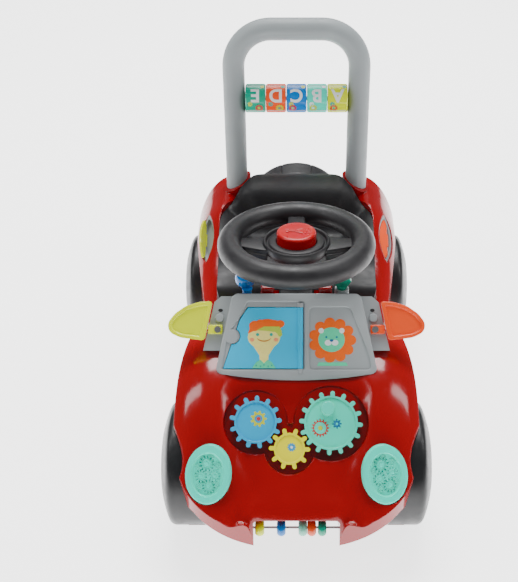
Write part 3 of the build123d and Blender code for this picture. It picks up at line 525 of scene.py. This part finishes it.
# ---------------------------------------------------------------- picture beside the door
lion_x, lion_y = 42.0, 47.5
print_piece(
    "print_lion_mane",
    "ink_orange",
    panel @ shift(0, 0, 0.02),
    "chassis",
    [spot(lion_x, lion_y, 22, 21)]
    + [
        spot(lion_x + 21.5 * math.cos(a), lion_y + 20.5 * math.sin(a), 6.4, 6.0)
        for a in (2 * math.pi * k / 11 for k in range(11))
    ],
)
print_piece(
    "print_lion_face",
    "ink_mint",
    panel @ shift(0, 0, 0.14),
    "chassis",
    [
        spot(lion_x - 1, lion_y + 0.5, 15.5, 14.5),
        patch([(24, 17.5), (60, 17.5), (58, 21.5), (26, 21.5)], low=-0.12),
    ],
)
print_piece(
    "print_lion_white",
    "ink_white",
    panel @ shift(0, 0, 0.27),
    "chassis",
    [
        spot(lion_x - 13, lion_y + 11, 3.1, 3.1),
        spot(lion_x + 11, lion_y + 11, 3.1, 3.1),
        spot(lion_x - 5, lion_y - 3, 4.0, 3.4),
        spot(lion_x + 3, lion_y - 3, 4.0, 3.4),
    ],
)
print_piece(
    "print_lion_features",
    "ink_navy",
    panel @ shift(0, 0, 0.4),
    "chassis",
    [
        spot(lion_x - 7, lion_y + 3.5, 1.1, 1.1),
        spot(lion_x + 5, lion_y + 3.5, 1.1, 1.1),
        spot(lion_x - 1, lion_y - 0.5, 2.2, 1.5),
    ],
)

# ---------------------------------------------------------------- printed gears on the gears
# The gears' faces lie 1.6 below their rims.
face_low = -1.6
ink_layer = 0.12
gear_prints = (
    ("blue", "outer", "ink_lime", 0, cog(3.4, 3.6, 9.4, 9, ink_layer, depth=0.24)),
    ("blue", "middle", "ink_blue", 1, spot(3.4, 3.6, 4.6, 4.6)),
    ("blue", "centre", "ink_red", 2, spot(3.4, 3.6, 2.2, 2.2)),
    ("yellow", "outer", "ink_blue", 0, cog(2.4, 1.8, 5.0, 10, ink_layer, depth=0.2)),
    ("yellow", "centre", "ink_white", 1, spot(2.4, 1.8, 1.5, 1.5)),
    ("teal", "outer", "ink_red", 0, cog(-12.3, -5.8, 10.2, 16, ink_layer, depth=0.2, hole=0.64)),
    ("teal", "dot", "ink_lime", 0, cog(-12.3, -5.8, 3.0, 8, ink_layer)),
    ("teal", "small", "ink_blue", 0, cog(6.8, -1.0, 5.4, 8, ink_layer, depth=0.3, hole=0.2)),
)
for gear, part, ink, layer, shape in gear_prints:
    face = gear_frames[gear] @ shift(0, 0, face_low + layer * ink_layer)
    print_piece(f"print_{gear}_{part}", ink, face, f"gear_{gear}", [shape])

# ---------------------------------------------------------------- letter rollers
roller_low, roller_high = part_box("letter_roller_a")
roller_radius = (roller_high.z - roller_low.z) / 2 / MM
# The lines stop short of the roller's ends.
line_reach = (roller_high.x - roller_low.x) / MM / 2 - 1.6
letter_colours = {
    "e": ("ink_red", "ink_lime"),
    "d": ("ink_lime", "ink_teal"),
    "c": ("ink_red", "ink_lime"),
    "b": ("ink_lime", "ink_white"),
    "a": ("ink_red", "ink_teal"),
}


def wrap_round(bm, lift):
    """Bends a flat print round a roller: y runs back over the top from the front."""
    for vert in bm.verts:
        angle = vert.co.y / roller_radius
        reach = roller_radius + lift + vert.co.z
        vert.co = (vert.co.x, -reach * math.cos(angle), reach * math.sin(angle))


def finish_wrap(name, bm, ink, place, body, lift):
    """Divides a flat print finely enough to bend, wraps it and makes it a piece."""
    for span in (8.0, 4.0, 2.0):
        long = [edge for edge in bm.edges if abs(edge.verts[0].co.y - edge.verts[1].co.y) > span]
        if long:
            bmesh.ops.subdivide_edges(bm, edges=long, cuts=1)
            bmesh.ops.triangulate(bm, faces=[face for face in bm.faces if len(face.verts) > 4])
    wrap_round(bm, lift)
    bmesh.ops.recalc_face_normals(bm, faces=bm.faces)
    return make_piece(name, bm, place, inks[ink], body)


for letter, (first, second) in letter_colours.items():
    low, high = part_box(f"letter_roller_{letter}")
    middle = Matrix.Translation((low + high) / 2)
    body = f"roller_{letter}"
    curve = bpy.data.curves.new(f"letter_{letter}", "FONT")
    curve.body = letter.upper()
    curve.align_x, curve.align_y = "CENTER", "CENTER"
    curve.size = 24.0
    curve.extrude = 0.08
    curve.offset = 0.7
    text = bpy.data.objects.new(f"letter_{letter}", curve)
    bpy.context.scene.collection.objects.link(text)
    bpy.context.view_layer.update()
    flat = bpy.data.meshes.new_from_object(text.evaluated_get(bpy.context.evaluated_depsgraph_get()))
    bpy.data.objects.remove(text)
    bm = bmesh.new()
    bm.from_mesh(flat)
    bpy.data.meshes.remove(flat)
    bmesh.ops.remove_doubles(bm, verts=bm.verts, dist=0.001)
    for height in range(-10, 11, 2):
        cut = bm.verts[:] + bm.edges[:] + bm.faces[:]
        bmesh.ops.bisect_plane(bm, geom=cut, plane_co=(0, height, 0), plane_no=(0, 1, 0))
    half_turn = Matrix.Translation((0, 14.0, 0)) @ Matrix.Rotation(math.pi, 4, "Z")
    bmesh.ops.transform(bm, matrix=half_turn, verts=bm.verts)
    wrap_round(bm, 0.16)
    make_piece(f"print_letter_{letter}", bm, middle, inks["ink_white"], body)
    cog_x, dot_x = (5, 4.5) if letter in "ed" else (-5, -5)
    lines = [
        patch([(-line_reach, y), (line_reach, y), (line_reach, y + 0.8), (-line_reach, y + 0.8)], height=0.1)
        for y in (28.5, -9.5)
    ]
    for word, ink, shapes in (
        ("gear", first, [cog(cog_x, -4.5, 5.6, 12, 0.1, hole=0.4)]),
        ("dot", second, [cog(-7, 1.5, 3.4, 9, 0.1), spot(9, 26.5, 2.6, 2.6), spot(dot_x, -4.5, 1.7, 1.7)]),
        ("lines", "ink_white", lines),
    ):
        bm = bmesh.new()
        for make, values, options in shapes:
            make(bm, *values, **options)
        finish_wrap(f"print_{word}_{letter}", bm, ink, middle, body, 0.04)

# ---------------------------------------------------------------- steering wheel
def lay(bm, matrix):
    """Moves a whole bmesh."""
    bmesh.ops.transform(bm, matrix=matrix, verts=bm.verts)


def join(parts):
    """One bmesh from several."""
    whole = bmesh.new()
    for part in parts:
        mesh = bpy.data.meshes.new("joining")
        part.to_mesh(mesh)
        part.free()
        whole.from_mesh(mesh)
        bpy.data.meshes.remove(mesh)
    return whole


def slab(corners, low, high, round_by, segments=3):
    """A plate from its outline's corners, with every edge rounded."""
    bm = bmesh.new()
    face = bm.faces.new([bm.verts.new((x, y, low)) for x, y in corners])
    raise_face(bm, face, high - low)
    bmesh.ops.recalc_face_normals(bm, faces=bm.faces)
    bmesh.ops.bevel(
        bm, geom=bm.edges[:], offset=round_by, segments=segments, profile=0.5, affect="EDGES", material=-1,
        clamp_overlap=True,
    )
    return bm


rim_radius, rim_tube = 81.5, 14.5
rim = bmesh.new()
section = bmesh.ops.create_circle(rim, segments=32, radius=rim_tube)
stand_out = Matrix.Translation((rim_radius, 0, 0)) @ Matrix.Rotation(math.pi / 2, 4, "X")
bmesh.ops.transform(rim, matrix=stand_out, verts=section["verts"])
spin_round(rim, 96)

hub_profile = [(24.5, -6), (24.5, 3.0), (25.3, 3.9), (33.0, 3.9), (34.2, 3.0), (34.6, 1.4), (35.8, 1.2)]
hub_profile += [(36.6, 2.4), (37.6, 4.6), (39.2, 5.2), (40.6, 4.2), (41.0, 1.5), (40.6, -3.0), (37.5, -9.5)]
hub_profile += [(33.0, -13.0), (30.0, -14.0), (7.2, -14.0), (7.2, -6.0)]
left_spoke = [(33, -21), (48, -17), (70, -9), (70, 11), (48, 12), (33, 13)]
spokes = [slab(left_spoke, -7.5, 1.5, 1.6), slab([(-x, y) for x, y in reversed(left_spoke)], -7.5, 1.5, 1.6)]
# A thick lower lip under the front edge of each side spoke.
lip = [(35, -23), (50, -18.5), (71, -10), (71, -5), (50, -13), (35, -17)]
spokes += [slab(lip, -12.0, -4.5, 1.5), slab([(-x, y) for x, y in reversed(lip)], -12.0, -4.5, 1.5)]
spokes += [slab([(-13, 34), (13, 34), (10, 71), (-10, 71)], -8.0, 1.5, 1.6)]
make_piece(
    "steering_wheel_moulding",
    join([rim, lathe(hub_profile, 96)] + spokes),
    hub,
    finishes["textured_pp_black"],
    "steering",
    replaces=("steering_wheel",),
    smooth=40,
)

# ---------------------------------------------------------------- horn button with a raised horn sign
horn_profile = [(0.01, 13.0), (21, 13.0), (21, -1.0), (24.0, -1.0), (24.0, 13.8), (23.4, 15.4), (22.4, 16.4)]
horn_profile += [(20.6, 16.9), (16.0, 16.6), (8.0, 16.3), (0.01, 16.2)]
bell = [(-9, -1.6), (-2, -2.0), (6, -6.5), (8, -6.5), (8, 6.5), (6, 6.5), (-2, 2.0), (-9, 1.6)]
bulb = [(-13, -4), (-9.6, -4), (-9.6, 4), (-13, 4)]
sign = [slab(outline, 15.8, 17.4, 0.5, 2) for outline in (bell, bulb)]
for reach in (11.5, 15.5):
    wave = arc(0, 0, reach, reach, range(-28, 29, 7))
    wave += arc(0, 0, reach + 1.4, reach + 1.4, range(28, -29, -7))
    sign.append(slab(wave, 15.8, 17.3, 0.3, 2))
make_piece(
    "horn_button_moulding",
    join([lathe(horn_profile, 72)] + sign),
    hub,
    finishes["horn_abs_red"],
    "horn",
    replaces=("horn_button",),
)

# ---------------------------------------------------------------- headlights
for word, side in (("left", 1), ("right", -1)):
    low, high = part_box(f"headlight_{word}")
    normal = Vector((side * 0.24, -0.743, 0.624)).normalized()
    lens = placed((low + high) / 2, normal, (0.97, -0.05 * side, 0.24 * side)) @ shift(0, 0, 1.5)
    profile = [(0.01, -5.4), (26.6, -5.4), (26.6, 0.4), (26.0, 1.9), (24.4, 2.6), (21.4, 2.7), (19.6, 2.2)]
    profile += [(19.0, 1.2), (18.6, 0.2), (17.6, -0.1), (0.01, 0.3)]
    bm = lathe(profile, 72)
    lay(bm, Matrix.Diagonal((1, 34.2 / 26.6, 1, 1)))
    parts = [bm]
    for x, y, radius, teeth in (
        (-3, 12, 9, 12), (8.5, 0.5, 7, 10), (-7.5, -3.5, 7.5, 11), (3.5, -13, 8, 12), (10, 12.5, 4.5, 9),
        (-12, 6.5, 4, 8), (-7, -15, 4.6, 9), (11, -9, 4, 8), (0.6, 1.2, 3.2, 8), (1, 20, 3.2, 8),
        (-9.6, 16.5, 3, 8),
    ):
        emboss = bmesh.new()
        add_cog(emboss, x, y, radius, teeth, 0.7, low=-0.2, hole=0.45)
        add_disc(emboss, x, y, radius * 0.22, radius * 0.22, height=0.8, low=-0.2, steps=12)
        bmesh.ops.recalc_face_normals(emboss, faces=emboss.faces)
        parts.append(emboss)
    make_piece(
        f"headlight_{word}_lens",
        join(parts),
        lens,
        finishes["abs_headlight"],
        "chassis",
        replaces=(f"headlight_{word}",),
    )

# ---------------------------------------------------------------- windscreen frame, wings and mirrors


def carve(name, bm, cutters, round_by, segments=2):
    """Takes closed cutters out of a closed shape, then rounds what is sharp. Millimetres in and out."""

    def hold(part, label):
        mesh = bpy.data.meshes.new(label)
        part.to_mesh(mesh)
        part.free()
        made = bpy.data.objects.new(label, mesh)
        bpy.context.scene.collection.objects.link(made)
        return made

    body = hold(bm, name)
    tools = [hold(cutter, f"{name}_cutter") for cutter in cutters]
    for tool in tools:
        cut = body.modifiers.new("cut", "BOOLEAN")
        cut.object, cut.operation, cut.solver = tool, "DIFFERENCE", "EXACT"
    if round_by:
        edge = body.modifiers.new("edge", "BEVEL")
        edge.width, edge.segments, edge.limit_method = round_by, segments, "ANGLE"
        edge.angle_limit = math.radians(30)
    bpy.context.view_layer.update()
    mesh = bpy.data.meshes.new_from_object(body.evaluated_get(bpy.context.evaluated_depsgraph_get()))
    whole = bmesh.new()
    whole.from_mesh(mesh)
    for made in [body] + tools:
        bpy.data.objects.remove(made)
    return whole


def plate(corners, low, high, corner_by=0.0, segments=5):
    """A plate from its outline, with its upright corners rounded."""
    bm = bmesh.new()
    face = bm.faces.new([bm.verts.new((x, y, low)) for x, y in corners])
    raise_face(bm, face, high - low)
    bmesh.ops.recalc_face_normals(bm, faces=bm.faces)
    if corner_by:
        upright = [edge for edge in bm.edges if abs(edge.verts[0].co.z - edge.verts[1].co.z) > 0.01]
        bmesh.ops.bevel(
            bm, geom=upright, offset=corner_by, segments=segments, profile=0.5, affect="EDGES", material=-1,
            clamp_overlap=True,
        )
    return bm


sill = [(x, 0.5 + 8.5 * (x / 95) ** 2) for x in range(-80, 81, 20)]
outer = [(-75, 102)] + [(-95, 9)] + sill + [(95, 9), (75, 102)]
frame_plate = plate(outer, -3.0, 1.7, 7.0)
door_line = [(-87.4, 12.6), (9.5, 12.6), (9.5, 92.5), (-57.6, 92.5), (-66.4, 74), (-80, 55)]
door_hole = plate(door_line, -6, 4, 3.0)
picture_hole = plate([(15, 13), (87.5, 13), (84, 32), (63, 86), (15, 86)], -6, 4, 5.0)
make_piece(
    "windscreen_frame",
    carve("windscreen_frame", frame_plate, [door_hole, picture_hole], 1.1, 3),
    panel,
    finishes["satin_pp_grey"],
    "chassis",
)
thumb = lathe([(0.01, -1.0), (8.2, -1.0), (8.2, 1.0), (7.4, 1.8), (0.01, 1.7)], 40)
lay(thumb, Matrix.Translation((-76.5, 52, 0)))
make_piece("door_thumb_rest", thumb, panel, finishes["satin_pp_grey"], "chassis")



def on_side(corners, side):
    """The outline on the left (1) or the right (-1), kept running the same way round."""
    return [(side * x, y) for x, y in (corners if side < 0 else reversed(corners))]


for word, side in (("left", 1), ("right", -1)):
    boss = lathe([(0.01, -9.5), (5.4, -9.5), (5.2, -7.2), (4.4, -6.2), (0.01, -5.9)], 32)
    lay(boss, Matrix.Translation((side * 90.5, 73.5, 0)))
    make_piece(f"wing_boss_{word}", boss, panel, finishes["satin_pp_grey"], "chassis")
    # A thin black disc beside the boss: painted shade standing in for the dark hole there.
    hole_shade = lathe([(0.01, -9.0), (2.9, -9.0), (2.7, -8.35), (0.01, -8.35)], 24)
    lay(hole_shade, Matrix.Translation((side * 89.5, 82.5, 0)) @ Matrix.Diagonal((1, 0.7, 1, 1)))
    make_piece(f"wing_hole_shade_{word}", hole_shade, panel, finishes["rubber_black"], "chassis")

    # A dished paddle on a flat arm.
    paddle_line = [(108, 47), (98.7, 93), (113, 92.4), (130, 87.6), (143, 78.5), (150.3, 69), (151, 62),
                   (147.6, 55.6), (136, 50.2)]
    paddle = plate(on_side(paddle_line, side), -8.0, -1.2, 4.0)
    dish_line = [(112.6, 51.5), (103.9, 88.4), (112.6, 87.9), (128.2, 83.5), (139.8, 75.7), (146.0, 67.8),
                 (146.6, 62.6), (144.6, 58.6), (134.8, 54.2)]
    dish = plate(on_side(dish_line, side), -3.4, 2.0, 2.5)
    arm_line = [(87, 54.6), (104, 54.6), (104, 65.4), (87, 65.4)]
    arm = slab([(side * x, y) for x, y in arm_line], -8.0, -4.0, 1.2)
    carved = carve(f"mirror_{word}_paddle", paddle, [dish], 0.9, 3)
    make_piece(
        f"mirror_{word}_paddle",
        join([carved, arm]),
        panel,
        finishes["abs_coral" if side > 0 else "abs_lime"],
        f"mirror_{word}",
        replaces=(f"mirror_{word}",),
    )

# ---------------------------------------------------------------- shift lever
low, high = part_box("shift_lever")
stem_x, stem_y = (low.x + high.x) / 2 + 0.0012, low.y + 0.006
lever = lathe([(0.01, 0), (5.6, 0), (5.6, 27), (6.4, 31), (0.01, 31)], 32)
knob = bmesh.new()
bmesh.ops.create_uvsphere(knob, u_segments=40, v_segments=24, radius=12.4)
lay(knob, Matrix.Translation((-2.2, 11.0, 37.0)))
make_piece(
    "shift_lever_moulding",
    join([lever, knob]),
    Matrix.Translation((stem_x, stem_y, low.z)),
    finishes["abs_bead_blue"],
    "shifter",
    replaces=("shift_lever",),
)

# ---------------------------------------------------------------- floor and light
floor_data = bpy.data.meshes.new("floor")
bm = bmesh.new()
bmesh.ops.create_grid(bm, x_segments=2, y_segments=2, size=6.0)
bm.to_mesh(floor_data)
bm.free()
floor = bpy.data.objects.new("floor", floor_data)
bpy.context.scene.collection.objects.link(floor)
paper = bpy.data.materials.new("lit_backdrop_acrylic")
paper.use_nodes = True
sheet = paper.node_tree.nodes["Principled BSDF"]
sheet.inputs["Base Color"].default_value = linear("FAFAFA")
sheet.inputs["Roughness"].default_value = 0.8
sheet.inputs["Emission Color"].default_value = (1, 1, 1, 1)
sheet.inputs["Emission Strength"].default_value = 2.6
floor_data.materials.append(paper)

world = bpy.data.worlds.new("studio_air")
world.use_nodes = True
world.node_tree.nodes["Background"].inputs["Color"].default_value = (1, 1, 1, 1)
world.node_tree.nodes["Background"].inputs["Strength"].default_value = 0.2
bpy.context.scene.world = world


def light_box(name, place, aim, wide, tall, watts):
    """A soft rectangular lamp at place, turned towards aim."""
    lamp = bpy.data.lights.new(name, "AREA")
    lamp.shape = "RECTANGLE"
    lamp.size, lamp.size_y, lamp.energy = wide, tall, watts
    made = bpy.data.objects.new(name, lamp)
    made.location = place
    made.rotation_euler = (Vector(aim) - Vector(place)).to_track_quat("-Z", "Y").to_euler()
    bpy.context.scene.collection.objects.link(made)


light_box("top_box", (0, 0.9, 2.4), (0, 0, 0.1), 1.6, 0.9, 64)
light_box("rear_box", (0, 1.6, 1.8), (0, 0, 0.2), 1.6, 0.6, 16)
light_box("left_strip", (-1.2, -0.1, 1.5), (0, -0.1, 0.15), 0.25, 1.0, 6)
light_box("right_strip", (1.2, -0.1, 1.5), (0, -0.1, 0.15), 0.25, 1.0, 6)
